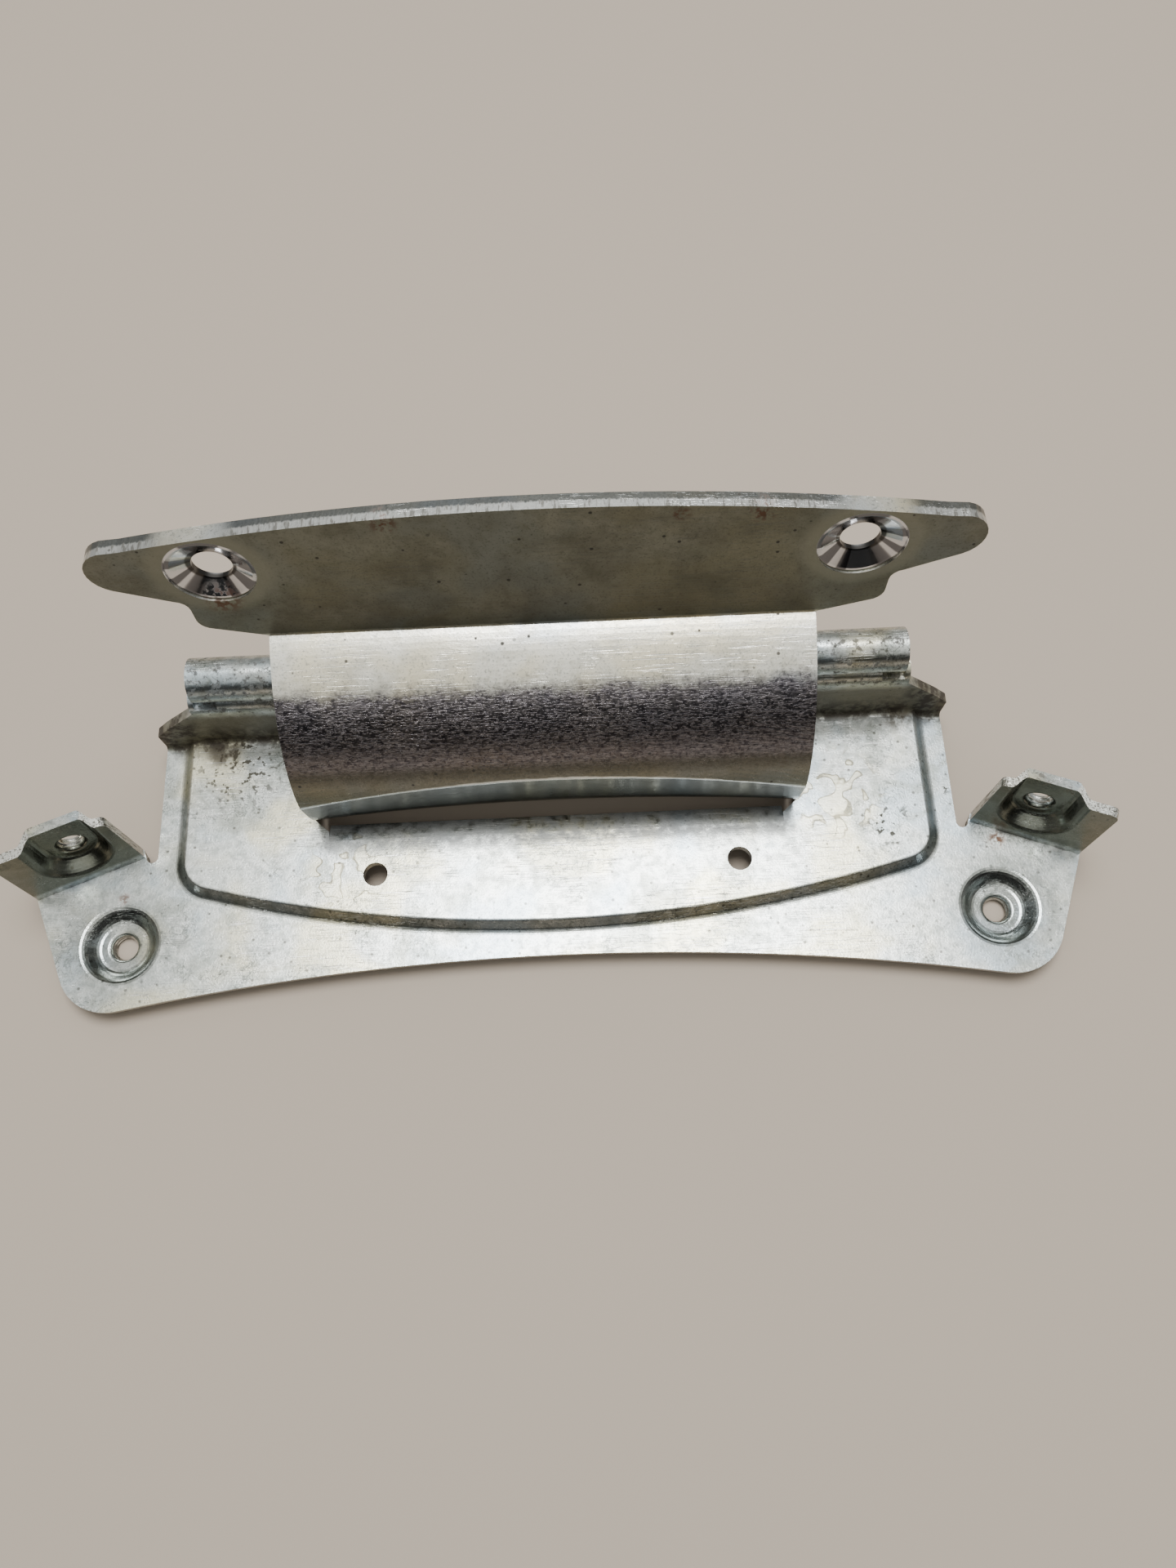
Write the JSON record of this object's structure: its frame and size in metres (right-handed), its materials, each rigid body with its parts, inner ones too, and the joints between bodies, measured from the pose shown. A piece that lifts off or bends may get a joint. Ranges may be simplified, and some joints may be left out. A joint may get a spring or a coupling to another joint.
{
  "type": "washing machine door hinge",
  "caption": "Pressed zinc-plated steel door hinge with a banana-shaped body bracket and a hooked door leaf that turns on a hidden pin.",
  "frame": {"origin": "midway between the two threaded screw holes of the bracket's plate, in the plane where their drawn collars end, 4.3 mm behind the plate's front face", "axes": "+X along the pin, +Y from the plate's hollow edge towards the pin, +Z out of the plate's front face, towards the side the door is on"},
  "size_m": [0.1834, 0.056, 0.0672],
  "materials": {
    "zinc_sheet": "zinc-plated, mottled, stained",
    "door_sheet": "zinc-plated, scratched",
    "pin_steel": "plain drawn steel"
  },
  "bodies": {
    "bracket_body": {"bracket": "zinc_sheet", "hinge_pin": "pin_steel"},
    "leaf_body": {"door_leaf": "door_sheet"}
  },
  "joints": [
    {"name": "door_hinge", "type": "hinge", "parent": "bracket_body", "child": "leaf_body", "pos_m": [0, 0.04, 0.0231], "axis": [1, 0, 0], "range_deg": [-3, 97]}
  ]
}
